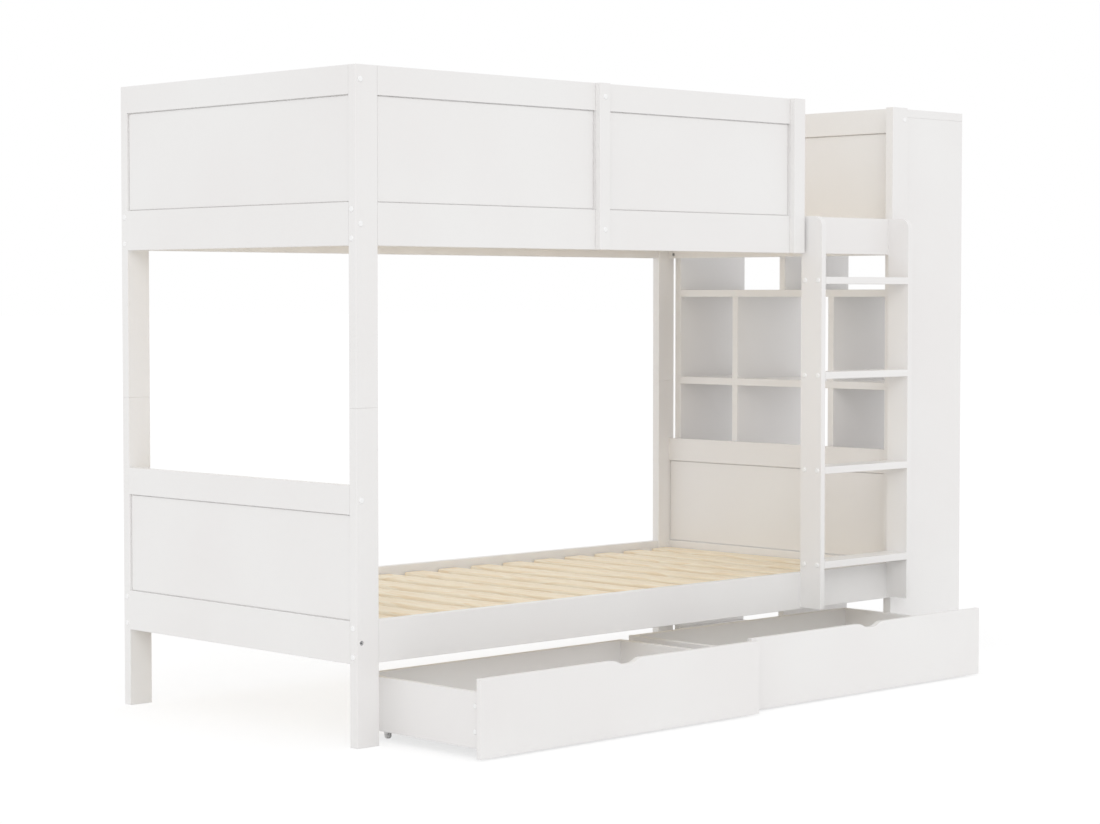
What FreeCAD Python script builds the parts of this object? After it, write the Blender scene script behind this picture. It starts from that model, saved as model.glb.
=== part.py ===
import FreeCAD, Part
import math
import os

from FreeCAD import Vector

# A bunk bed in white lacquered board: two equal single beds on split corner posts, panelled
# ends, a guard rail, a board ladder, an open bookcase behind the head end and two rolling
# drawers under the lower bed.
# Millimetres. While it is built, x runs from the foot posts' outer face to the head,
# y from the front posts' outer face to the rear, and z up from the floor.

# Driving dimensions: the whole bed
bed_length = 2107.0              # over the posts, without the bookcase
bed_width = 970.0                # over the posts
bed_height = 1643.0
edge_radius = 1.5                # softened edge of every lacquered board

# Posts, each in two halves so that the bunk comes apart into two beds
post_width = 69.0                # along x
post_depth = 27.0                # along y
lower_post_length = 821.0
post_pin_radius = 5.0
post_pin_length = 90.0
post_pin_inset = 20.0            # pin axis from the post's edges along x
pin_clearance = 0.15

# End frames and side rails
rail_thickness = 22.0
frame_floor_gap = 203.0          # floor to the lower rails' underside
bottom_rail_height = 104.0
panel_opening = 257.0            # height of the panels' openings
top_rail_height = 71.0

# Panels, held by a tongue in grooves all round
panel_recess = 5.0               # panel face behind the rails' face
rail_line = 2.0                  # dark line over and under each panel
upright_line = 4.0               # dark line beside each panel
tongue_thickness = 6.0
tongue_depth = 8.0
groove_clearance = 0.2
groove_end_clearance = 0.8

# Slats on ledgers inside the side rails
slat_width = 76.0
slat_gap = 54.4
slat_foot_margin = 28.4          # foot rail to the first slat
slat_thickness = 18.0
slat_drop = 22.0                 # slat top below the side rails' top
slat_edge_radius = 6.0
slat_end_clearance = 2.0
ledger_width = 25.0
ledger_height = 30.0

# Guard along the upper bed's front, with the way in at the head end
entry_width = 414.4              # clear, from the guard's end to the head post
guard_middle_position = 827.0    # middle stile's centre line from the foot
middle_stile_width = 38.0
end_stile_width = 45.0
guard_stile_proud = 18.0         # stiles stand in front of the rails

# Ladder
ladder_inner_width = 370.0
ladder_stile_thickness = 18.0
ladder_stile_depth = 75.0
ladder_post_gap = 1.5            # right stile to the head post's inner edge
ladder_foot_lift = 5.0           # stiles end above the lower rail's underside
ladder_top_radius = 28.0
rung_thickness = 20.0
rung_pitch = 267.5
first_rung_height = 332.0        # floor to the lowest rung's centre
rung_count = 4

# Bookcase behind the head end, open on both sides
bookcase_depth = 307.0
bookcase_inset = 33.0            # its sides from the bed's sides
bookcase_side_thickness = 24.0
bookcase_top_thickness = 24.0
bookcase_shelf_thickness = 22.0
bookcase_divider_thickness = 22.0
bookcase_shelf_pitch = 277.5     # about the middle of the height
bookcase_centre_bay = 368.0

# Drawers on fixed castors, as they stand in the rest pose
left_drawer_pull = 335.0         # front's outer face before the posts
right_drawer_pull = 295.0
drawer_front_thickness = 15.0
drawer_front_floor_gap = 5.0
drawer_front_top_gap = 8.0       # below the side rail
drawer_foot_margin = 27.0        # left front's end from the foot post
drawer_head_inset = 32.0         # right front's end from the bed's end
drawer_between = 13.0
drawer_left_overhang = 12.0      # front past the box on the left
drawer_post_clearance = 10.0     # right box to the head post
drawer_box_depth = 445.0
drawer_wall = 15.0
drawer_inner_front = 22.0        # box end behind the drawer front
drawer_box_lift = 21.0           # box underside above the front's underside
drawer_box_drop = 35.0           # box top below the front's top
drawer_bottom_thickness = 6.0
drawer_bottom_lift = 6.0         # bottom board above the box underside
drawer_groove_depth = 5.0
notch_width = 112.0
notch_flat = 16.0
notch_depth = 12.0

# Castors
wheel_radius = 10.0
wheel_width = 8.0
wheel_edge_radius = 1.5
axle_radius = 1.5
axle_clearance = 0.08            # wheel bore about the axle
axle_fit = 0.03                  # cheek holes about the axle
axle_head_radius = 2.5
axle_head_height = 0.8
castor_plate = 1.5
castor_side_gap = 1.0            # wheel to bracket cheek
castor_plate_length = 30.0
castor_cheek_radius = 4.5
castor_front_inset = 40.0        # front axles behind the box's front
castor_rear_inset = 60.0         # rear axles before the box's back
castor_wall_gap = 22.5           # bracket to the box side
castor_screw_radius = 1.25
castor_screw_head_radius = 2.5
castor_screw_head_height = 1.2
castor_screw_grip = 4.0          # length in the drawer's bottom board
castor_screw_spread = 11.0       # screws before and behind the axle

# Connector screws with domed caps
screw_radius = 3.0
screw_head_radius = 5.5
screw_head_height = 3.0
screw_clearance = 0.15
screw_grip = 40.0                # length in the far piece
rung_screw_grip = 32.0
counterbore_radius = 6.0
counterbore_depth = 6.0
flush_depth = 3.5                # counterbore of the uncapped screws
cap_radius = 7.0
cap_height = 3.2
cap_stem_radius = 5.8
cap_stem_length = 2.0
dome_share = 0.75                # rounding of every domed head, as a share of its height
near_enough = 1.0                # two places closer than this are the same
rail_screw_inset = 15.0          # rail screws from the posts' outer faces
pair_offset = 35.0               # side-rail screws above and below the rail's centre
rung_screw_offset = 24.0         # ladder screws before and behind the stile's centre
bookcase_screw_lifts = (12.0, 36.0)   # below the slats, above the rails' underside
ladder_screw_lift = 19.0         # ladder fixing screws above the rails' underside
box_screw_low = 40.5             # drawer screws above the box underside
box_screw_high = 101.5
box_screw_setback = 16.0         # front pair behind the box's front
drawer_screw_grip = 25.0
drawer_screw_radius = 2.0
drawer_screw_head_radius = 6.5
drawer_screw_head_height = 3.2
front_screw_inset = 120.0        # screws from the box into the drawer front
front_screw_grip = 10.0

# Levels and places that follow from them
inner_y = post_depth
outer_y = bed_width - post_depth
head_post_x = bed_length - post_width
head_face_x = bed_length - rail_thickness
rear_rail_y = bed_width - rail_thickness
frame_height = bottom_rail_height + panel_opening + top_rail_height
upper_frame_z = bed_height - frame_height
guard_end_x = head_post_x - entry_width
middle_low_x = guard_middle_position - middle_stile_width / 2
middle_high_x = guard_middle_position + middle_stile_width / 2
end_stile_x = guard_end_x - end_stile_width

bookcase_x = bed_length
bookcase_end_x = bookcase_x + bookcase_depth
bookcase_low_y = bookcase_inset
bookcase_high_y = bed_width - bookcase_inset

drawer_front_height = frame_floor_gap - drawer_front_top_gap - drawer_front_floor_gap
drawer_foot_x = post_width + drawer_foot_margin
drawer_run = bed_length - drawer_head_inset - drawer_foot_x
drawer_front_width = (drawer_run - drawer_between) / 2
drawer_right_overhang = post_width + drawer_post_clearance - drawer_head_inset
drawer_box_width = drawer_front_width - drawer_left_overhang - drawer_right_overhang
drawer_box_z = drawer_front_floor_gap + drawer_box_lift
drawer_box_top = drawer_front_floor_gap + drawer_front_height - drawer_box_drop

# The origin lies on the floor at the middle of the whole footprint
cap_proud = cap_height
footprint_x = (-cap_proud, bookcase_end_x)
footprint_y = (-left_drawer_pull, bed_width + cap_proud)
origin = Vector(sum(footprint_x) / 2, sum(footprint_y) / 2, 0)

x_axis = Vector(1, 0, 0)
y_axis = Vector(0, 1, 0)
z_axis = Vector(0, 0, 1)

pieces = {}                      # node name to its list of solids


def block(low, high):
    """A plain box between two corners."""
    size = [b - a for a, b in zip(low, high)]
    return Part.makeBox(*size, Vector(*low))


def along(edge):
    """The axis, 0 to 2, that a straight edge follows."""
    run = edge.Vertexes[1].Point - edge.Vertexes[0].Point
    parts = [abs(run.x), abs(run.y), abs(run.z)]
    return parts.index(max(parts))


def board(low, high, softened=(0, 1, 2), radius=edge_radius):
    """A board whose edges along the given axes are softened."""
    solid = block(low, high)
    edges = [edge for edge in solid.Edges if along(edge) in softened]
    return solid.makeFillet(radius, edges)


def grown(low, high, normal, beside, above):
    """The two corners moved outwards across the normal, sideways and upright."""
    margins = [beside, beside, above]
    margins[normal] = 0
    new_low = [a - margin for a, margin in zip(low, margins)]
    new_high = [b + margin for b, margin in zip(high, margins)]
    return new_low, new_high


def slab(low, high, normal, thickness):
    """The two corners with the normal's span cut to a thickness about its middle."""
    middle = (low[normal] + high[normal]) / 2
    new_low = [middle - thickness / 2 if i == normal else a for i, a in enumerate(low)]
    new_high = [middle + thickness / 2 if i == normal else b for i, b in enumerate(high)]
    return new_low, new_high


def panel(low, high, normal):
    """A raised panel in an opening, with a tongue all round."""
    face = grown(low, high, normal, -upright_line, -rail_line)
    field = board(*slab(*face, normal, rail_thickness - 2 * panel_recess))
    rim = grown(low, high, normal, tongue_depth, tongue_depth)
    return field.fuse(block(*slab(*rim, normal, tongue_thickness)))


def cut_grooves(low, high, normal, neighbours):
    """Plough the groove for a panel's tongue into the pieces round its opening."""
    depth = tongue_depth + groove_end_clearance
    rim_low, rim_high = grown(low, high, normal, depth, depth)
    rim_low[2] += groove_end_clearance   # the panel stands on the lower groove's floor
    tool = block(*slab(rim_low, rim_high, normal, tongue_thickness + 2 * groove_clearance))
    for node in neighbours:
        pieces[node] = [solid.cut(tool) for solid in pieces[node]]


def make_posts():
    """Four posts in two halves, with two steel pins across each joint."""
    pins = []
    for end, x in (("foot", 0), ("head", head_post_x)):
        for side, y in (("front", 0), ("rear", bed_width - post_depth)):
            low = (x, y, 0)
            middle_low = (x, y, lower_post_length)
            middle_high = (x + post_width, y + post_depth, lower_post_length)
            high = (x + post_width, y + post_depth, bed_height)
            lower = board(low, middle_high)
            upper = board(middle_low, high)
            for pin_x in (x + post_pin_inset, x + post_width - post_pin_inset):
                foot = Vector(pin_x, y + post_depth / 2, lower_post_length - post_pin_length / 2)
                reach = post_pin_length + 2 * pin_clearance
                bore = Part.makeCylinder(post_pin_radius + pin_clearance, reach, foot, z_axis)
                lower = lower.cut(bore)
                upper = upper.cut(bore)
                pins.append(Part.makeCylinder(post_pin_radius, post_pin_length, foot, z_axis))
            pieces["post_%s_%s_lower" % (end, side)] = [lower]
            pieces["post_%s_%s_upper" % (end, side)] = [upper]
    pieces["post_joint_pins"] = pins


def make_end_frames():
    """At each end of each bed, two rails with a panel between them."""
    panels = []
    openings = []
    for level, z in (("lower", frame_floor_gap), ("upper", upper_frame_z)):
        panel_z = z + bottom_rail_height
        top_z = panel_z + panel_opening
        for end, x in (("foot", 0), ("head", head_face_x)):
            far_x = x + rail_thickness
            bottom = board((x, inner_y, z), (far_x, outer_y, panel_z), (1,))
            top = board((x, inner_y, top_z), (far_x, outer_y, top_z + top_rail_height), (1,))
            pieces["%s_%s_bottom_rail" % (level, end)] = [bottom]
            pieces["%s_%s_top_rail" % (level, end)] = [top]
            opening = ((x, inner_y, panel_z), (far_x, outer_y, top_z))
            panels.append(panel(*opening, 0))
            posts = ["post_%s_%s_%s" % (end, side, level) for side in ("front", "rear")]
            rails = ["%s_%s_%s_rail" % (level, end, name) for name in ("bottom", "top")]
            openings.append((opening, posts + rails))
    pieces["end_panels"] = panels
    for opening, neighbours in openings:
        cut_grooves(*opening, 0, neighbours)


def make_side_rails():
    """Four side rails between the posts, flush with their outer faces."""
    for level, z in (("lower", frame_floor_gap), ("upper", upper_frame_z)):
        for side, y in (("front", 0), ("rear", rear_rail_y)):
            low = (post_width, y, z)
            high = (head_post_x, y + rail_thickness, z + bottom_rail_height)
            pieces["%s_side_rail_%s" % (level, side)] = [board(low, high, (0,))]


def make_slats():
    """Ledgers on the side rails, and a row of slats across each bed."""
    ledgers = []
    inner_length = bed_length - 2 * rail_thickness
    pitch = slat_width + slat_gap
    count = int((inner_length - slat_foot_margin + slat_gap) / pitch)
    low_y = post_depth + slat_end_clearance
    high_y = bed_width - low_y
    for level, rail_z in (("lower", frame_floor_gap), ("upper", upper_frame_z)):
        slat_z = rail_z + bottom_rail_height - slat_drop - slat_thickness
        for y in (rail_thickness, rear_rail_y - ledger_width):
            low = (post_width, y, slat_z - ledger_height)
            high = (head_post_x, y + ledger_width, slat_z)
            ledgers.append(board(low, high, (0,)))
        row = []
        for index in range(count):
            x = rail_thickness + slat_foot_margin + index * pitch
            low = (x, low_y, slat_z)
            high = (x + slat_width, high_y, slat_z + slat_thickness)
            row.append(board(low, high, (1,), slat_edge_radius))
        pieces["%s_slats" % level] = row
    pieces["slat_ledgers"] = ledgers


def guard_stile(x, width):
    """A stile before the rails, with a block between them that carries the panels' ends."""
    low = (x, -guard_stile_proud, upper_frame_z)
    front = board(low, (x + width, 0, bed_height))
    panel_z = upper_frame_z + bottom_rail_height
    back = block((x, 0, panel_z), (x + width, rail_thickness, panel_z + panel_opening))
    return front.fuse(back)


def make_guards():
    """The front guard up to the way in, and the rear guard along the whole bed."""
    panel_z = upper_frame_z + bottom_rail_height
    top_z = panel_z + panel_opening
    front_top = board((post_width, 0, top_z), (guard_end_x, rail_thickness, bed_height), (0,))
    rear_low = (post_width, rear_rail_y, top_z)
    rear_top = board(rear_low, (head_post_x, bed_width, bed_height), (0,))
    pieces["guard_front_top_rail"] = [front_top]
    pieces["guard_rear_top_rail"] = [rear_top]
    pieces["guard_middle_stile"] = [guard_stile(middle_low_x, middle_stile_width)]
    pieces["guard_end_stile"] = [guard_stile(end_stile_x, end_stile_width)]
    spans = ((post_width, middle_low_x), (middle_high_x, end_stile_x))
    openings = [((a, 0, panel_z), (b, rail_thickness, top_z)) for a, b in spans]
    pieces["guard_front_panels"] = [panel(*opening, 1) for opening in openings]
    around = ["guard_front_top_rail", "upper_side_rail_front", "guard_middle_stile"]
    cut_grooves(*openings[0], 1, around + ["post_foot_front_upper"])
    cut_grooves(*openings[1], 1, around + ["guard_end_stile"])
    rear = ((post_width, rear_rail_y, panel_z), (head_post_x, bed_width, top_z))
    pieces["guard_rear_panel"] = [panel(*rear, 1)]
    posts = ["post_foot_rear_upper", "post_head_rear_upper"]
    cut_grooves(*rear, 1, ["guard_rear_top_rail", "upper_side_rail_rear"] + posts)


ladder_right_x = head_post_x - ladder_post_gap - ladder_stile_thickness
ladder_left_x = ladder_right_x - ladder_inner_width - ladder_stile_thickness
rung_heights = [first_rung_height + i * rung_pitch for i in range(rung_count)]


def make_ladder():
    """Two board stiles before the rails, with flat rungs between them."""
    stiles = []
    low_z = frame_floor_gap + ladder_foot_lift
    high_z = upper_frame_z + bottom_rail_height
    for x in (ladder_left_x, ladder_right_x):
        high = (x + ladder_stile_thickness, 0, high_z)
        solid = block((x, -ladder_stile_depth, low_z), high)
        across = [edge for edge in solid.Edges if along(edge) == 0]
        corner = max(across, key=lambda edge: edge.CenterOfMass.z - edge.CenterOfMass.y)
        solid = solid.makeFillet(ladder_top_radius, [corner])
        middle_x = x + ladder_stile_thickness / 2
        outline = [edge for edge in solid.Edges if edge.CenterOfMass.y < -near_enough
                   and edge.CenterOfMass.z > low_z + near_enough
                   and abs(edge.CenterOfMass.x - middle_x) > near_enough]
        stiles.append(solid.makeFillet(edge_radius, outline))
    rungs = []
    for height in rung_heights:
        low = (ladder_left_x + ladder_stile_thickness, -ladder_stile_depth,
               height - rung_thickness / 2)
        high = (ladder_right_x, 0, height + rung_thickness / 2)
        rungs.append(board(low, high, (0,)))
    pieces["ladder_stiles"] = stiles
    pieces["ladder_rungs"] = rungs


def make_bookcase():
    """Top and base over two sides, three shelves and the dividers between them."""
    x0 = bookcase_x
    x1 = bookcase_end_x
    y0 = bookcase_low_y
    y1 = bookcase_high_y
    side_top = bed_height - bookcase_top_thickness
    base = board((x0, y0, 0), (x1, y1, bookcase_top_thickness))
    top = board((x0, y0, side_top), (x1, y1, bed_height))
    sides = []
    for y in (y0, y1 - bookcase_side_thickness):
        low = (x0, y, bookcase_top_thickness)
        sides.append(board(low, (x1, y + bookcase_side_thickness, side_top)))
    inner_y0 = y0 + bookcase_side_thickness
    inner_y1 = y1 - bookcase_side_thickness
    middle_z = bed_height / 2
    shelves = []
    faces = [bookcase_top_thickness]     # top of the base, then each shelf's two faces
    for step in (-1, 0, 1):
        z = middle_z + step * bookcase_shelf_pitch - bookcase_shelf_thickness / 2
        shelf_top = z + bookcase_shelf_thickness
        shelves.append(board((x0, inner_y0, z), (x1, inner_y1, shelf_top), (1,)))
        faces += [z, shelf_top]
    faces.append(side_top)
    bays = list(zip(faces[0::2], faces[1::2]))
    centre_y = bed_width / 2
    half = bookcase_divider_thickness / 2
    offset = bookcase_centre_bay / 2 + half
    centre = []
    rows = []
    for index, (z0, z1) in enumerate(bays):
        outer = index in (0, len(bays) - 1)
        for y in ((centre_y,) if outer else (centre_y - offset, centre_y + offset)):
            divider = board((x0, y - half, z0), (x1, y + half, z1), (2,))
            (centre if outer else rows).append(divider)
    pieces["bookcase_top_and_base"] = [base, top]
    pieces["bookcase_sides"] = sides
    pieces["bookcase_shelves"] = shelves
    pieces["bookcase_centre_dividers"] = centre
    pieces["bookcase_bay_dividers"] = rows


def notched(front, middle_x, top_z, y0, y1):
    """The drawer front with a shallow finger scoop in its top edge."""
    run = (notch_width - notch_flat) / 2
    turn = (run ** 2 + notch_depth ** 2) / (4 * notch_depth)
    lean = math.asin(run / 2 / turn)
    rise = 2 * notch_depth

    def at(x, z):
        return Vector(middle_x + x, y0, top_z + z)

    edges = []
    for side in (-1, 1):
        shoulder = side * notch_width / 2
        bend = side * (notch_width / 2 - turn * math.sin(lean / 2))
        bend_z = -turn * (1 - math.cos(lean / 2))
        knee = side * (notch_flat / 2 + run / 2)
        low = side * (notch_flat / 2 + turn * math.sin(lean / 2))
        low_z = bend_z * -1 - notch_depth
        floor = side * notch_flat / 2
        edges.append(Part.Arc(at(shoulder, 0), at(bend, bend_z), at(knee, -notch_depth / 2)))
        edges.append(Part.Arc(at(knee, -notch_depth / 2), at(low, low_z), at(floor, -notch_depth)))
        edges.append(Part.LineSegment(at(shoulder, 0), at(shoulder, rise)))
    edges.append(Part.LineSegment(at(-notch_flat / 2, -notch_depth), at(notch_flat / 2, -notch_depth)))
    edges.append(Part.LineSegment(at(-notch_width / 2, rise), at(notch_width / 2, rise)))
    shapes = [edge.toShape() for edge in edges]
    wire = Part.Wire(Part.__sortEdges__(shapes))
    return front.cut(Part.Face(wire).extrude(y_axis * (y1 - y0)))


def castor_bracket(x, y, plate_z):
    """A folded bracket with two rounded cheeks."""
    half = wheel_width / 2 + castor_side_gap + castor_plate
    reach = castor_plate_length / 2
    plate = block((x - half, y - reach, plate_z - castor_plate), (x + half, y + reach, plate_z))
    solid = plate
    for cheek_x in (x - half, x + half - castor_plate):
        start = Vector(cheek_x, y, wheel_radius)
        boss = Part.makeCylinder(castor_cheek_radius, castor_plate, start, x_axis)
        corners = [(y - castor_cheek_radius, wheel_radius), (y + castor_cheek_radius, wheel_radius),
                   (y + reach, plate_z - castor_plate), (y - reach, plate_z - castor_plate)]
        points = [Vector(cheek_x, a, b) for a, b in corners]
        web = Part.Face(Part.makePolygon(points + points[:1])).extrude(x_axis * castor_plate)
        solid = solid.fuse(boss).fuse(web)
    hole = Part.makeCylinder(axle_radius + axle_fit, 2 * half, Vector(x - half, y, wheel_radius), x_axis)
    return solid.removeSplitter().cut(hole)


def castor_axle(x, y):
    """The rivet across the cheeks, with a head outside each."""
    half = wheel_width / 2 + castor_side_gap + castor_plate
    solid = Part.makeCylinder(axle_radius, 2 * half, Vector(x - half, y, wheel_radius), x_axis)
    for head_x in (x - half - axle_head_height, x + half):
        start = Vector(head_x, y, wheel_radius)
        solid = solid.fuse(Part.makeCylinder(axle_head_radius, axle_head_height, start, x_axis))
    return solid


def castor_wheel(x, y):
    """A wheel with softened edges, bored for its axle."""
    start = Vector(x - wheel_width / 2, y, wheel_radius)
    solid = Part.makeCylinder(wheel_radius, wheel_width, start, x_axis)
    rims = [edge for edge in solid.Edges if edge.Curve.TypeId == "Part::GeomCircle"]
    solid = solid.makeFillet(wheel_edge_radius, rims)
    bore = Part.makeCylinder(axle_radius + axle_clearance, wheel_width, start, x_axis)
    return solid.cut(bore)


def dome(start, outward, radius, height):
    """A low domed button that stands on a face."""
    solid = Part.makeCylinder(radius, height, start, outward)
    rim = [edge for edge in solid.Edges if edge.Curve.TypeId == "Part::GeomCircle"
           and (edge.CenterOfMass - start).Length > height / 2]
    return solid.makeFillet(height * dome_share, rim)


def drawer_screw(start, direction, length):
    """A screw with a domed white head, through a box wall."""
    head = dome(start, direction * -1, drawer_screw_head_radius, drawer_screw_head_height)
    return head.fuse(Part.makeCylinder(drawer_screw_radius, length, start, direction))


def drilled(solid, start, direction, radius, depth):
    """The solid with a round hole from a point on its face."""
    return solid.cut(Part.makeCylinder(radius, depth, start, direction))


def make_drawer(name, x, pull):
    """A drawer: applied front, four box walls, bottom, screws and four fixed castors."""
    front_y = -pull
    box_y = front_y + drawer_front_thickness
    back_y = box_y + drawer_box_depth
    z0 = drawer_box_z
    z1 = drawer_box_top
    box_x = x + drawer_left_overhang
    box_end = box_x + drawer_box_width
    inner_x = box_x + drawer_wall
    inner_end = box_end - drawer_wall
    inner_y = box_y + drawer_inner_front
    inner_back = back_y - drawer_wall
    top = drawer_front_floor_gap + drawer_front_height
    front = board((x, front_y, drawer_front_floor_gap), (x + drawer_front_width, box_y, top))
    front = notched(front, x + drawer_front_width / 2, top, front_y, box_y)
    sides = [board((a, box_y, z0), (a + drawer_wall, back_y, z1), (1,)) for a in (box_x, inner_end)]
    ends = [board((inner_x, low_y, z0), (inner_end, high_y, z1), (0,))
            for low_y, high_y in ((box_y, inner_y), (inner_back, back_y))]
    floor_z = z0 + drawer_bottom_lift
    reach = drawer_groove_depth
    low = (inner_x - reach, inner_y - reach, floor_z)
    high = (inner_end + reach, inner_back + reach, floor_z + drawer_bottom_thickness)
    bottom = block(low, high)
    groove_low = (low[0] - groove_clearance, low[1] - groove_clearance, low[2])
    groove_high = [value + groove_clearance for value in high]
    groove = block(groove_low, groove_high)
    sides = [solid.cut(groove) for solid in sides]
    ends = [solid.cut(groove) for solid in ends]
    pilot = drawer_screw_radius + screw_clearance
    screws = []
    for side, face_x, direction in ((0, box_x, x_axis), (1, box_end, x_axis * -1)):
        for end, screw_y in ((0, box_y + box_screw_setback), (1, back_y - drawer_wall / 2)):
            for lift in (box_screw_low, box_screw_high):
                start = Vector(face_x, screw_y, z0 + lift)
                length = drawer_wall + drawer_screw_grip
                sides[side] = drilled(sides[side], start, direction, pilot, length + screw_clearance)
                ends[end] = drilled(ends[end], start, direction, pilot, length + screw_clearance)
                screws.append(drawer_screw(start, direction, length))
    for screw_x in (inner_x + front_screw_inset, inner_end - front_screw_inset):
        start = Vector(screw_x, inner_y, z0 + box_screw_high)
        length = drawer_inner_front + front_screw_grip
        ends[0] = drilled(ends[0], start, y_axis * -1, pilot, length + screw_clearance)
        front = drilled(front, start, y_axis * -1, pilot, length + screw_clearance)
        screws.append(drawer_screw(start, y_axis * -1, length))
    half = wheel_width / 2 + castor_side_gap + castor_plate
    castors = []
    for side, wheel_x in (("left", inner_x + castor_wall_gap + half),
                          ("right", inner_end - castor_wall_gap - half)):
        for end, wheel_y in (("front", box_y + castor_front_inset),
                             ("rear", back_y - castor_rear_inset)):
            bracket = castor_bracket(wheel_x, wheel_y, floor_z)
            for spread in (-castor_screw_spread, castor_screw_spread):
                start = Vector(wheel_x, wheel_y + spread, floor_z - castor_plate)
                length = castor_plate + castor_screw_grip
                bore = castor_screw_radius + screw_clearance
                bracket = drilled(bracket, start, z_axis, bore, length + screw_clearance)
                bottom = drilled(bottom, start, z_axis, bore, length + screw_clearance)
                head_start = start - z_axis * castor_screw_head_height
                head = Part.makeCylinder(castor_screw_head_radius, castor_screw_head_height, head_start)
                castors.append(head.fuse(Part.makeCylinder(castor_screw_radius, length, start)))
            castors.append(bracket)
            castors.append(castor_axle(wheel_x, wheel_y))
            pieces["%s_wheel_%s_%s" % (name, end, side)] = [castor_wheel(wheel_x, wheel_y)]
    pieces["%s_front" % name] = [front]
    pieces["%s_box_sides" % name] = sides
    pieces["%s_box_ends" % name] = ends
    pieces["%s_bottom" % name] = [bottom]
    pieces["%s_screws" % name] = screws
    pieces["%s_castor_mounts" % name] = castors


def cap(start, direction):
    """A domed cap on a face, with its stem in the counterbore."""
    button = dome(start, direction * -1, cap_radius, cap_height)
    return button.fuse(Part.makeCylinder(cap_stem_radius, cap_stem_length, start, direction))


def fasten(near, far, start, direction, thickness, grip, capped):
    """Join two pieces with a screw that starts on the near one's face."""
    sink = counterbore_depth if capped else flush_depth
    seat = start + direction * sink
    length = thickness - sink + grip
    bore = screw_radius + screw_clearance
    for node, index in (near, far):
        solid = drilled(pieces[node][index], seat, direction, bore, length + screw_clearance)
        pieces[node][index] = solid
    node, index = near
    pieces[node][index] = drilled(pieces[node][index], start, direction, counterbore_radius, sink)
    head_start = seat - direction * screw_head_height
    head = Part.makeCylinder(screw_head_radius, screw_head_height, head_start, direction)
    shank = Part.makeCylinder(screw_radius, length, seat, direction)
    pieces["connector_screws"].append(head.fuse(shank))
    if capped == "with cap":
        pieces["screw_caps"].append(cap(start, direction))


def fasten_end_rails():
    """One screw through each post into each end rail."""
    levels = (("lower", frame_floor_gap), ("upper", upper_frame_z))
    for end, x in (("foot", rail_screw_inset), ("head", bed_length - rail_screw_inset)):
        for side, y, direction in (("front", 0, y_axis), ("rear", bed_width, y_axis * -1)):
            for level, z in levels:
                low_z = z + bottom_rail_height / 2
                high_z = z + frame_height - top_rail_height / 2
                for rail, screw_z in (("bottom", low_z), ("top", high_z)):
                    near = ("post_%s_%s_%s" % (end, side, level), 0)
                    far = ("%s_%s_%s_rail" % (level, end, rail), 0)
                    lost = (end, side, level, rail) == ("foot", "front", "lower", "bottom")
                    capped = "cap lost" if lost else "with cap"
                    fasten(near, far, Vector(x, y, screw_z), direction, post_depth, screw_grip, capped)


def fasten_side_rails():
    """Two long screws through each post into each side rail."""
    for end, x, direction in (("foot", 0, x_axis), ("head", bed_length, x_axis * -1)):
        for side, y in (("front", rail_screw_inset), ("rear", bed_width - rail_screw_inset)):
            for level, z in (("lower", frame_floor_gap), ("upper", upper_frame_z)):
                middle_z = z + bottom_rail_height / 2
                for screw_z in (middle_z - pair_offset, middle_z + pair_offset):
                    near = ("post_%s_%s_%s" % (end, side, level), 0)
                    far = ("%s_side_rail_%s" % (level, side), 0)
                    start = Vector(x, y, screw_z)
                    fasten(near, far, start, direction, post_width, screw_grip, "with cap")


def fasten_ladder():
    """Two screws at each end of each rung, and four from behind into the stiles."""
    outer_x = ladder_right_x + ladder_stile_thickness
    middle_y = -ladder_stile_depth / 2
    for stile, x, direction in ((0, ladder_left_x, x_axis), (1, outer_x, x_axis * -1)):
        for rung, height in enumerate(rung_heights):
            for y in (middle_y - rung_screw_offset, middle_y + rung_screw_offset):
                fasten(("ladder_stiles", stile), ("ladder_rungs", rung), Vector(x, y, height),
                       direction, ladder_stile_thickness, rung_screw_grip, "with cap")
    for stile, x in ((0, ladder_left_x), (1, ladder_right_x)):
        for level, z in (("lower", frame_floor_gap), ("upper", upper_frame_z)):
            start = Vector(x + ladder_stile_thickness / 2, rail_thickness, z + ladder_screw_lift)
            near = ("%s_side_rail_front" % level, 0)
            fasten(near, ("ladder_stiles", stile), start, y_axis * -1,
                   rail_thickness, screw_grip, None)


def fasten_guard():
    """Capped screws through the middle stile, and screws from behind into the end stile."""
    low_z = upper_frame_z + bottom_rail_height / 2
    high_z = bed_height - top_rail_height / 2
    grip = rail_thickness / 2
    rails = (("upper_side_rail_front", low_z), ("guard_front_top_rail", high_z))
    for rail, z in rails:
        start = Vector(guard_middle_position, -guard_stile_proud, z)
        fasten(("guard_middle_stile", 0), (rail, 0), start, y_axis, guard_stile_proud, grip, "with cap")
        start = Vector(guard_end_x - end_stile_width / 2, rail_thickness, z)
        fasten((rail, 0), ("guard_end_stile", 0), start, y_axis * -1, rail_thickness, grip, None)


def fasten_bookcase():
    """Screws from the bed side through the head's bottom rails into the bookcase sides."""
    inset = bookcase_inset + bookcase_side_thickness / 2
    for side, y in ((0, inset), (1, bed_width - inset)):
        for level, z in (("lower", frame_floor_gap), ("upper", upper_frame_z)):
            for lift in bookcase_screw_lifts:
                near = ("%s_head_bottom_rail" % level, 0)
                start = Vector(head_face_x, y, z + lift)
                fasten(near, ("bookcase_sides", side), start, x_axis, rail_thickness, screw_grip, None)


make_posts()
make_end_frames()
make_side_rails()
make_slats()
make_guards()
make_ladder()
make_bookcase()
right_drawer_x = bed_length - drawer_head_inset - drawer_front_width
make_drawer("drawer_left", drawer_foot_x, left_drawer_pull)
make_drawer("drawer_right", right_drawer_x, right_drawer_pull)

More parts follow.
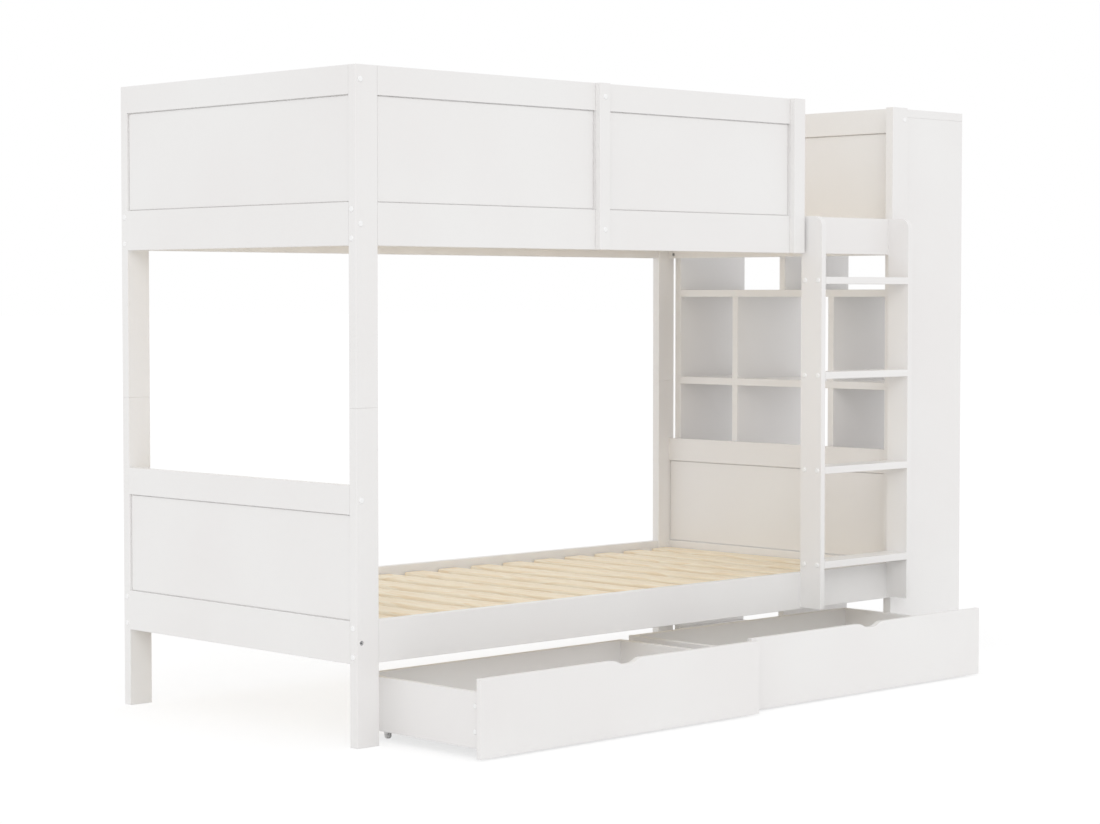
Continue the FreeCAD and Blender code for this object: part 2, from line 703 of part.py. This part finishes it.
pieces["connector_screws"] = []
pieces["screw_caps"] = []
fasten_end_rails()
fasten_side_rails()
fasten_ladder()
fasten_guard()
fasten_bookcase()

os.makedirs("parts", exist_ok=True)
for node, solids in pieces.items():
    shape = solids[0] if len(solids) == 1 else Part.makeCompound(solids)
    shape = shape.copy()
    shape.translate(origin * -1)
    shape.exportStep("parts/%s.step" % node)
print(len(pieces), "nodes,", sum(len(solids) for solids in pieces.values()), "solids")
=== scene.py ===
import math

import bmesh
import bpy
from mathutils import Matrix, Vector


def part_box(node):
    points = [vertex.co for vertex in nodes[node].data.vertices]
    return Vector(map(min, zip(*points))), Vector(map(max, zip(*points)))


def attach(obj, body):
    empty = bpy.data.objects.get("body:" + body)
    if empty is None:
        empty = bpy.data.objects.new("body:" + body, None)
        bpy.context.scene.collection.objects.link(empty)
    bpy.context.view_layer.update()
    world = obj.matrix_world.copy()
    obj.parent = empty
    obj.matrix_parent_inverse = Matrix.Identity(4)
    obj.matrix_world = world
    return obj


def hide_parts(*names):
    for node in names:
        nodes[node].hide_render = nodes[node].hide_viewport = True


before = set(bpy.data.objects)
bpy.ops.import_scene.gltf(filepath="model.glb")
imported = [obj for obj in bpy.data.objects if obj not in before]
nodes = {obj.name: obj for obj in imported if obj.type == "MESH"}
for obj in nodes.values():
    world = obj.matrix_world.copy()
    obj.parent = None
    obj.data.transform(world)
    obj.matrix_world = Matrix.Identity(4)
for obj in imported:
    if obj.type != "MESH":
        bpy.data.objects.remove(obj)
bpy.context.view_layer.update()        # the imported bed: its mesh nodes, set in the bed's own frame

mm = 0.001


# camera, floor and light

white = (1, 1, 1, 1)

camera = {
    "place": (-5187.6, -5115.3, 1088.0),     # mm, in the bed's own frame
    "tilt": -2.535,                          # degrees from level, minus is down
    "turn": -43.969,                         # degrees from looking along +Y
    "lens": 85.09,                           # mm
    "sensorWidth": 36.0,                     # mm
    "seesTo": 300.0,                         # metres, past the floor's far edge
}

studio = {
    "floorColour": "F8F8F8",
    "floorSize": 120.0,                      # metres from its middle to each edge
    "seenFloor": "A0A0A0",                   # the floor as the eye sees it, which takes the shadow
    "floorGlow": 0.71,                       # its own light on top of that, up to white
    "fillLight": 0.84,                       # the room's own light, the same from all sides
    "keyLight": 0.48,                        # soft light from the left, above the camera
    "keyFrom": (-0.58, -0.70, 0.48),         # the way to it
    "keySpread": 35.0,                       # degrees across, so its shadows are soft
}


def linearColour(code):                      # sRGB hex to the linear values that nodes take
    parts = [int(code[i:i + 2], 16) / 255 for i in (0, 2, 4)]
    straight = [p / 12.92 if p <= 0.04045 else ((p + 0.055) / 1.055) ** 2.4 for p in parts]
    return (*straight, 1.0)


def addNode(tree, kind, settings=None, **links):
    node = tree.nodes.new(kind)
    for name, value in (settings or {}).items():
        if name in node.inputs:
            node.inputs[name].default_value = value
        elif name.isdigit():
            node.inputs[int(name)].default_value = value
        else:
            setattr(node, name, value)
    for name, source in links.items():       # i0, i1 and i2 are the inputs by their place
        place = int(name[1:]) if name[1:].isdigit() else name
        tree.links.new(source, node.inputs[place])
    return node


camData = bpy.data.cameras.new("bedCamera")
camData.sensor_width = camera["sensorWidth"]
camData.lens = camera["lens"]
camData.clip_end = camera["seesTo"]
camObject = bpy.data.objects.new("bedCamera", camData)
camObject.location = Vector(camera["place"]) * mm
camObject.rotation_euler = (math.radians(90 + camera["tilt"]), 0, math.radians(camera["turn"]))
bpy.context.collection.objects.link(camObject)
bpy.context.scene.camera = camObject
bpy.context.scene.view_settings.view_transform = "Standard"


def seenRays(tree):                          # 1 where the eye looks: straight, mirrored or through
    rays = addNode(tree, "ShaderNodeLightPath")
    direct = addNode(tree, "ShaderNodeMath", {"operation": "MAXIMUM"},
                     i0=rays.outputs["Is Camera Ray"], i1=rays.outputs["Is Glossy Ray"])
    seen = addNode(tree, "ShaderNodeMath", {"operation": "MAXIMUM"},
                   i0=direct.outputs[0], i1=rays.outputs["Is Transmission Ray"])
    return seen.outputs[0]


def makeStudio():
    world = bpy.data.worlds.new("studioRoom")
    bpy.context.scene.world = world
    world.use_nodes = True
    tree = world.node_tree
    tree.nodes.clear()
    room = addNode(tree, "ShaderNodeBackground",
                   {"Color": white, "Strength": studio["fillLight"]})
    seenRoom = addNode(tree, "ShaderNodeBackground", {"Color": white, "Strength": 1.0})
    mix = addNode(tree, "ShaderNodeMixShader", i0=seenRays(tree),
                  i1=room.outputs[0], i2=seenRoom.outputs[0])
    addNode(tree, "ShaderNodeOutputWorld", Surface=mix.outputs[0])

    # matt pale floor: it lights the bed as a real floor does, and to the eye it is
    # white with a faint shadow
    material = bpy.data.materials.new("paleStudioFloor")
    material.use_nodes = True
    tree = material.node_tree
    tree.nodes.clear()
    paint = addNode(tree, "ShaderNodeBsdfDiffuse", {"Color": linearColour(studio["floorColour"])})
    seenPaint = addNode(tree, "ShaderNodeBsdfDiffuse", {"Color": linearColour(studio["seenFloor"])})
    glow = addNode(tree, "ShaderNodeEmission",
                   {"Color": white, "Strength": studio["floorGlow"]})
    seenFloor = addNode(tree, "ShaderNodeAddShader", i0=seenPaint.outputs[0], i1=glow.outputs[0])
    floorMix = addNode(tree, "ShaderNodeMixShader", i0=seenRays(tree),
                       i1=paint.outputs[0], i2=seenFloor.outputs[0])
    addNode(tree, "ShaderNodeOutputMaterial", Surface=floorMix.outputs[0])

    mesh = bpy.data.meshes.new("studioFloor")
    work = bmesh.new()
    bmesh.ops.create_grid(work, x_segments=1, y_segments=1, size=studio["floorSize"])
    work.to_mesh(mesh)
    work.free()
    mesh.materials.append(material)
    floor = bpy.data.objects.new("studioFloor", mesh)
    bpy.context.collection.objects.link(floor)

    lamp = bpy.data.lights.new("keyLight", "SUN")
    lamp.energy = studio["keyLight"]
    lamp.angle = math.radians(studio["keySpread"])
    lampObject = bpy.data.objects.new("keyLight", lamp)
    lampObject.rotation_euler = Vector(studio["keyFrom"]).to_track_quat("Z", "Y").to_euler()
    bpy.context.collection.objects.link(lampObject)


makeStudio()
print("camera, floor and light ready")


# finishes

lacquer = {
    "colour": "F3F2F1",
    "warm": "F1EFEE",        # the slight drift of a sprayed coat over a board
    "driftSize": 420.0,      # mm, as all sizes here
    "driftEdges": (0.35, 0.65),
    "driftDetail": 2.0,
    "peelSize": 2.2,         # orange peel, drawn a little coarser than the real 1 mm
    "peelDepth": 0.02,
    "peelDetail": 1.0,
    "grainWidth": 3.5,       # the board's grain shows faintly through the coat
    "grainLength": 160.0,
    "grainDepth": 0.018,
    "grainDetail": 3.0,
    "roughness": (0.30, 0.38),
    "coat": 0.12,            # the last thin gloss over the satin
    "coatRoughness": 0.25,
}


def newMaterial(name):
    material = bpy.data.materials.new(name)
    material.use_nodes = True
    tree = material.node_tree
    tree.nodes.clear()
    shader = addNode(tree, "ShaderNodeBsdfPrincipled")
    addNode(tree, "ShaderNodeOutputMaterial", Surface=shader.outputs[0])
    return material, tree, shader


def setRamp(node, stops):                    # the stops' places, from the lowest, and hex colours
    points = node.color_ramp.elements
    stops = list(stops)
    while len(points) < len(stops):
        points.new(1.0)
    for point, (position, code) in zip(points, stops):
        point.position = position
        point.color = linearColour(code)


def grainScale(run, width, length):
    # cells of a given width, drawn out along the grain: the patterns have about 1 cell a unit
    return [1 / (length * mm) if axis == run else 1 / (width * mm) for axis in range(3)]


def whiteLacquer(name, run):
    # satin white lacquer sprayed on pine board: an even pale coat that hides the colour
    # of the wood, with a soft sheen, fine orange peel and the last trace of grain
    material, tree, shader = newMaterial(name)
    place = addNode(tree, "ShaderNodeTexCoord").outputs["Object"]
    drift = addNode(tree, "ShaderNodeTexNoise",
                    {"Scale": 1 / (lacquer["driftSize"] * mm), "Detail": lacquer["driftDetail"]},
                    Vector=place)
    tint = addNode(tree, "ShaderNodeValToRGB", Fac=drift.outputs["Fac"])
    setRamp(tint, zip(lacquer["driftEdges"], (lacquer["warm"], lacquer["colour"])))
    stretch = addNode(tree, "ShaderNodeMapping",
                      {"Scale": grainScale(run, lacquer["grainWidth"], lacquer["grainLength"])},
                      Vector=place)
    grain = addNode(tree, "ShaderNodeTexNoise", {"Scale": 1.0, "Detail": lacquer["grainDetail"]},
                    Vector=stretch.outputs[0])
    peel = addNode(tree, "ShaderNodeTexNoise",
                   {"Scale": 1 / (lacquer["peelSize"] * mm), "Detail": lacquer["peelDetail"]},
                   Vector=place)
    sheen = addNode(tree, "ShaderNodeMapRange",
                    {"To Min": lacquer["roughness"][0], "To Max": lacquer["roughness"][1]},
                    Value=grain.outputs["Fac"])
    grainBump = addNode(tree, "ShaderNodeBump",
                        {"Strength": 1.0, "Distance": lacquer["grainDepth"] * mm},
                        Height=grain.outputs["Fac"])
    peelBump = addNode(tree, "ShaderNodeBump",
                       {"Strength": 1.0, "Distance": lacquer["peelDepth"] * mm},
                       Height=peel.outputs["Fac"], Normal=grainBump.outputs[0])
    tree.links.new(tint.outputs[0], shader.inputs["Base Color"])
    tree.links.new(sheen.outputs[0], shader.inputs["Roughness"])
    tree.links.new(peelBump.outputs[0], shader.inputs["Normal"])
    shader.inputs["Coat Weight"].default_value = lacquer["coat"]
    shader.inputs["Coat Roughness"].default_value = lacquer["coatRoughness"]
    return material


pine = {
    "pale": "FEF4E0",
    "middle": "FBEED5",
    "line": "F6E3C6",
    "knot": "A67B4E",
    "ringWidth": 5.5,        # mm between growth lines on a planed face
    "ringLength": 420.0,
    "ringsInCell": 6.0,      # a cell of the flow pattern is as wide as this many rings
    "ringCount": 9.0,        # growth lines from the pattern's lowest to its highest value
    "ringDetail": 1.5,
    "ringTones": ((0.0, "pale"), (0.45, "middle"), (0.82, "line"), (0.92, "middle"),
                  (1.0, "pale")),            # across one growth ring
    "fibreWidth": 0.9,
    "fibreLength": 45.0,
    "fibreDepth": 0.05,
    "fibreDetail": 2.0,
    "knotSpacing": 330.0,    # along the grain
    "knotAcross": 0.6,       # share of that, across the grain
    "knotSize": 9.0,
    "knotFade": 2.2,         # where a knot ends, in knot sizes
    "roughness": (0.52, 0.66),
    "slatStart": -1155.0,    # first slat's edge, mm in the bed's frame
    "slatPitch": 130.4,
    "boardStep": 3.7,        # how far one slat's pattern is from the next one's
}


def naturalPine(name, run):
    # planed, unlacquered pine: pale straw ground, amber growth lines along the slat,
    # fine matt fibre and a few small brown knots
    material, tree, shader = newMaterial(name)
    place = addNode(tree, "ShaderNodeTexCoord").outputs["Object"]
    split = addNode(tree, "ShaderNodeSeparateXYZ", Vector=place)
    # each slat is cut from another board: its number and its bed's shift the pattern
    shift = addNode(tree, "ShaderNodeMath", {"operation": "SUBTRACT", "1": pine["slatStart"] * mm},
                    i0=split.outputs["X"])
    count = addNode(tree, "ShaderNodeMath", {"operation": "DIVIDE", "1": pine["slatPitch"] * mm},
                    i0=shift.outputs[0])
    number = addNode(tree, "ShaderNodeMath", {"operation": "FLOOR"}, i0=count.outputs[0])
    level = addNode(tree, "ShaderNodeMath", {"operation": "ROUND"}, i0=split.outputs["Z"])
    board = addNode(tree, "ShaderNodeMath",
                    {"operation": "MULTIPLY_ADD", "1": pine["boardStep"]},
                    i0=number.outputs[0], i2=level.outputs[0])
    flowWidth = pine["ringWidth"] * pine["ringsInCell"]
    stretch = addNode(tree, "ShaderNodeMapping",
                      {"Scale": grainScale(run, flowWidth, pine["ringLength"])}, Vector=place)
    flow = addNode(tree, "ShaderNodeTexNoise",
                   {"noise_dimensions": "4D", "Scale": 1.0, "Detail": pine["ringDetail"]},
                   Vector=stretch.outputs[0], W=board.outputs[0])
    # growth lines: the flow pattern's levels, one after another, pale to amber in each
    rings = addNode(tree, "ShaderNodeMath", {"operation": "MULTIPLY", "1": pine["ringCount"]},
                    i0=flow.outputs["Fac"])
    saw = addNode(tree, "ShaderNodeMath", {"operation": "FRACT"}, i0=rings.outputs[0])
    tint = addNode(tree, "ShaderNodeValToRGB", Fac=saw.outputs[0])
    setRamp(tint, [(position, pine[tone]) for position, tone in pine["ringTones"]])
    fibreStretch = addNode(tree, "ShaderNodeMapping",
                           {"Scale": grainScale(run, pine["fibreWidth"], pine["fibreLength"])},
                           Vector=place)
    fibre = addNode(tree, "ShaderNodeTexNoise", {"Scale": 1.0, "Detail": pine["fibreDetail"]},
                    Vector=fibreStretch.outputs[0])
    # knots: a few cells of a coarse pattern, drawn out along the grain
    knotWidth = pine["knotSpacing"] * pine["knotAcross"]
    knotStretch = addNode(tree, "ShaderNodeMapping",
                          {"Scale": grainScale(run, knotWidth, pine["knotSpacing"])},
                          Vector=place)
    knots = addNode(tree, "ShaderNodeTexVoronoi",
                    {"voronoi_dimensions": "4D", "Scale": 1.0, "Randomness": 1.0},
                    Vector=knotStretch.outputs[0], W=board.outputs[0])
    knotEdge = pine["knotSize"] / pine["knotSpacing"]
    knotShade = addNode(tree, "ShaderNodeValToRGB", Fac=knots.outputs["Distance"])
    setRamp(knotShade, [(knotEdge, "FFFFFF"), (pine["knotFade"] * knotEdge, "000000")])
    colour = addNode(tree, "ShaderNodeMixRGB", {"Color2": linearColour(pine["knot"])},
                     Fac=knotShade.outputs[0], Color1=tint.outputs[0])
    sheen = addNode(tree, "ShaderNodeMapRange",
                    {"To Min": pine["roughness"][0], "To Max": pine["roughness"][1]},
                    Value=fibre.outputs["Fac"])
    bump = addNode(tree, "ShaderNodeBump",
                   {"Strength": 1.0, "Distance": pine["fibreDepth"] * mm},
                   Height=fibre.outputs["Fac"])
    tree.links.new(colour.outputs[0], shader.inputs["Base Color"])
    tree.links.new(sheen.outputs[0], shader.inputs["Roughness"])
    tree.links.new(bump.outputs[0], shader.inputs["Normal"])
    return material


# sizes and depths in mm: "size" is the grain of the surface, "depth" how far it stands out
plain = {
    # white polyethylene caps: brighter than the lacquer, with a smooth moulded shine
    "capPlastic": {"colour": "FAFAFA", "roughness": (0.22, 0.30), "size": 3.0, "depth": 0.01,
                   "metallic": 0.0},
    # white-faced hardboard: matt, a little greyer than the lacquer, with a fine tooth
    "drawerHardboard": {"colour": "ECEBE9", "roughness": (0.55, 0.68), "size": 1.2, "depth": 0.03,
                        "metallic": 0.0},
    # zinc-plated steel screws and pins: cool grey metal, cloudy from the plating bath
    "zincScrew": {"colour": "C4C6C8", "roughness": (0.28, 0.45), "size": 2.5, "depth": 0.01,
                  "metallic": 1.0},
    # folded sheet steel under a white powder coat: half-matt, slightly pebbled
    "powderSteel": {"colour": "F8F8F7", "roughness": (0.36, 0.50), "size": 1.4, "depth": 0.03,
                    "metallic": 0.0},
    # moulded white nylon of the castor wheels: dull, with a fine mould texture
    "castorNylon": {"colour": "F4F4F3", "roughness": (0.42, 0.58), "size": 1.0, "depth": 0.03,
                    "metallic": 0.0},
}
plainDetail = 3.0                            # steps of ever finer cloud in each of them


def smoothFinish(name):
    look = plain[name]
    material, tree, shader = newMaterial(name)
    place = addNode(tree, "ShaderNodeTexCoord").outputs["Object"]
    cloud = addNode(tree, "ShaderNodeTexNoise",
                    {"Scale": 1 / (look["size"] * mm), "Detail": plainDetail}, Vector=place)
    sheen = addNode(tree, "ShaderNodeMapRange",
                    {"To Min": look["roughness"][0], "To Max": look["roughness"][1]},
                    Value=cloud.outputs["Fac"])
    bump = addNode(tree, "ShaderNodeBump", {"Strength": 1.0, "Distance": look["depth"] * mm},
                   Height=cloud.outputs["Fac"])
    shader.inputs["Base Color"].default_value = linearColour(look["colour"])
    shader.inputs["Metallic"].default_value = look["metallic"]
    tree.links.new(sheen.outputs[0], shader.inputs["Roughness"])
    tree.links.new(bump.outputs[0], shader.inputs["Normal"])
    return material


alongX, acrossY, uprightZ = range(3)         # the way that the grain runs
finishes = {
    "lacquerAlongBed": whiteLacquer("lacquerAlongBed", alongX),
    "lacquerAcrossBed": whiteLacquer("lacquerAcrossBed", acrossY),
    "lacquerUpright": whiteLacquer("lacquerUpright", uprightZ),
    "pineAcrossBed": naturalPine("pineAcrossBed", acrossY),
    "pineAlongBed": naturalPine("pineAlongBed", alongX),
}
for name in plain:
    finishes[name] = smoothFinish(name)

# words in the names of the pieces whose grain runs along the bed, or upright
alongBed = ("side_rail", "guard_front_top", "guard_rear", "guard_front_panels", "drawer_left_front",
            "drawer_right_front", "box_ends", "ladder_rungs")
upright = ("post_foot", "post_head", "stile", "bookcase_sides", "dividers")


def finishFor(node):
    if node.endswith("slats"):
        return "pineAcrossBed"
    if node == "slat_ledgers":
        return "pineAlongBed"
    if node == "screw_caps" or node.startswith("drawer") and node.endswith("screws"):
        return "capPlastic"
    if node in ("connector_screws", "post_joint_pins"):
        return "zincScrew"
    if node.endswith("castor_mounts"):
        return "powderSteel"
    if "wheel" in node:
        return "castorNylon"
    if node.endswith("bottom") and node.startswith("drawer"):
        return "drawerHardboard"
    if any(word in node for word in alongBed):
        return "lacquerAlongBed"
    if any(word in node for word in upright):
        return "lacquerUpright"
    return "lacquerAcrossBed"


for node, piece in nodes.items():
    for slot in piece.material_slots:
        slot.material = finishes[finishFor(node)]
print("finishes on", len(nodes), "nodes")


sharpFrom = 35.0                             # degrees: a fold past this keeps a hard edge


def finishedPiece(name, work, finish):
    bmesh.ops.recalc_face_normals(work, faces=work.faces)
    for face in work.faces:
        face.smooth = True
    for edge in work.edges:
        edge.smooth = edge.calc_face_angle(math.pi) < math.radians(sharpFrom)
    mesh = bpy.data.meshes.new(name)
    work.to_mesh(mesh)
    work.free()
    mesh.materials.append(finishes[finish])
    piece = bpy.data.objects.new(name, mesh)
    bpy.context.collection.objects.link(piece)
    return piece


# castor wheels: a solid moulded disc with a hub and a rim that stand out on both sides

castor = {
    "bore": 1.58,            # mm; this and the next three are radii
    "hub": 3.6,
    "web": 7.2,
    "radius": 10.0,
    "halfWidth": 4.0,        # half the width of hub and rim
    "webHalf": 2.4,          # half the thickness between them
    "softened": 0.6,         # the bevel of every edge
    # the rounded outer edge: how far in each point is from the radius and from the side,
    # in bevels
    "tread": ((2.0, 0.0), (1.0, 1 / 3), (0.25, 1.2), (0.0, 2.4)),
    "steps": 64,
}


def castorWheel(node):
    low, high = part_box(node)
    c = castor
    s = c["softened"]
    half = [(c["hub"] - s, c["halfWidth"]), (c["hub"], c["halfWidth"] - s),
            (c["hub"], c["webHalf"] + s / 2), (c["hub"] + s / 2, c["webHalf"]),
            (c["web"] - s / 2, c["webHalf"]), (c["web"], c["webHalf"] + s / 2),
            (c["web"], c["halfWidth"] - s), (c["web"] + s, c["halfWidth"])]
    tread = [(c["radius"] - inward * s, c["halfWidth"] - down * s) for inward, down in c["tread"]]
    outline = [(c["bore"], c["halfWidth"])] + half + tread
    outline += [(radius, -side) for radius, side in reversed(outline)]
    work = bmesh.new()
    verts = [work.verts.new((side * mm, 0, radius * mm)) for radius, side in outline]
    edges = [work.edges.new(pair) for pair in zip(verts, verts[1:] + verts[:1])]
    bmesh.ops.spin(work, geom=verts + edges, cent=(0, 0, 0), axis=(1, 0, 0),
                   angle=2 * math.pi, steps=c["steps"], use_merge=True)
    bmesh.ops.translate(work, verts=work.verts, vec=(low + high) / 2)
    wheel = finishedPiece("castor_" + node, work, "castorNylon")
    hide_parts(node)
    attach(wheel, node)


wheelNodes = [node for node in nodes if "wheel" in node]
for node in wheelNodes:
    castorWheel(node)
print("castor wheels:", len(wheelNodes))


# connector screws: furniture screws with a flat round head and a hexagon socket

connector = {
    "headRadius": 5.5,       # mm
    "headHeight": 3.0,
    "shankRadius": 3.0,
    "softened": 0.5,
    "socket": 2.3,           # to the hexagon's corners
    "socketSides": 6,
    "socketDepth": 1.9,
    "tip": 1.2,
    "steps": 28,
    "weld": 0.01,            # points nearer to each other than this are one
}


def separateScrews(node):
    # the points of each screw: all that edges join to one another
    work = bmesh.new()
    work.from_mesh(nodes[node].data)
    bmesh.ops.remove_doubles(work, verts=work.verts, dist=connector["weld"] * mm)
    seen = set()
    screws = []
    for start in work.verts:                 # in the mesh's own order, the same each run
        if start in seen:
            continue
        seen.add(start)
        waiting = [start]
        points = []
        while waiting:
            vert = waiting.pop()
            points.append(vert.co.copy())
            near = [link.other_vert(vert) for link in vert.link_edges]
            waiting += [other for other in near if other not in seen]
            seen.update(near)
        screws.append(points)
    work.free()
    return screws


def screwPlace(points):
    # the middle of the head's outer face, the way the shank points and the whole length
    low = Vector([min(point[i] for point in points) for i in range(3)])
    high = Vector([max(point[i] for point in points) for i in range(3)])
    size = high - low
    axis = max(range(3), key=lambda i: size[i])
    across = [i for i in range(3) if i != axis]
    centre = (low + high) / 2
    widest = max(points, key=lambda p: math.hypot(*(p[i] - centre[i] for i in across)))
    atLow = widest[axis] < centre[axis]
    top = centre.copy()
    top[axis] = low[axis] if atLow else high[axis]
    direction = Vector([0, 0, 0])
    direction[axis] = 1 if atLow else -1
    return top, direction, size[axis]


def socketScrew(top, direction, length):
    c = {name: value * mm for name, value in connector.items()}
    work = bmesh.new()
    outline = [(c["headRadius"] - c["softened"], 0), (c["headRadius"], -c["softened"]),
               (c["headRadius"], -c["headHeight"]), (c["shankRadius"], -c["headHeight"]),
               (c["shankRadius"], c["tip"] - length), (c["shankRadius"] - c["tip"], -length)]
    verts = [work.verts.new((radius, 0, z)) for radius, z in outline]
    edges = [work.edges.new(pair) for pair in zip(verts, verts[1:])]
    bmesh.ops.spin(work, geom=verts + edges, cent=(0, 0, 0), axis=(0, 0, 1),
                   angle=2 * math.pi, steps=connector["steps"], use_merge=True)
    rim = [edge for edge in work.edges if edge.is_boundary and edge.verts[0].co.z > -length / 2]
    end = [edge for edge in work.edges if edge.is_boundary and edge.verts[0].co.z < -length / 2]
    bmesh.ops.contextual_create(work, geom=end)
    hexagon = bmesh.ops.create_circle(work, segments=connector["socketSides"],
                                      radius=c["socket"])["verts"]
    mouth = list(dict.fromkeys(edge for vert in hexagon for edge in vert.link_edges))
    bmesh.ops.bridge_loops(work, edges=rim + mouth)
    sunk = bmesh.ops.extrude_edge_only(work, edges=mouth)["geom"]
    floorVerts = [item for item in sunk if isinstance(item, bmesh.types.BMVert)]
    bmesh.ops.translate(work, verts=floorVerts, vec=(0, 0, -c["socketDepth"]))
    bmesh.ops.contextual_create(work, geom=[item for item in sunk
                                            if isinstance(item, bmesh.types.BMEdge)])
    turn = direction.to_track_quat("-Z", "Y").to_matrix().to_4x4()
    bmesh.ops.transform(work, matrix=Matrix.Translation(top) @ turn, verts=work.verts)
    return work


def connectorScrews():
    whole = bmesh.new()
    places = [screwPlace(points) for points in separateScrews("connector_screws")]
    for place in places:
        one = socketScrew(*place)
        mesh = bpy.data.meshes.new("oneScrew")
        one.to_mesh(mesh)
        one.free()
        whole.from_mesh(mesh)
        bpy.data.meshes.remove(mesh)
    screws = finishedPiece("socketConnectorScrews", whole, "zincScrew")
    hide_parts("connector_screws")
    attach(screws, "bed")
    print("connector screws:", len(places))


connectorScrews()
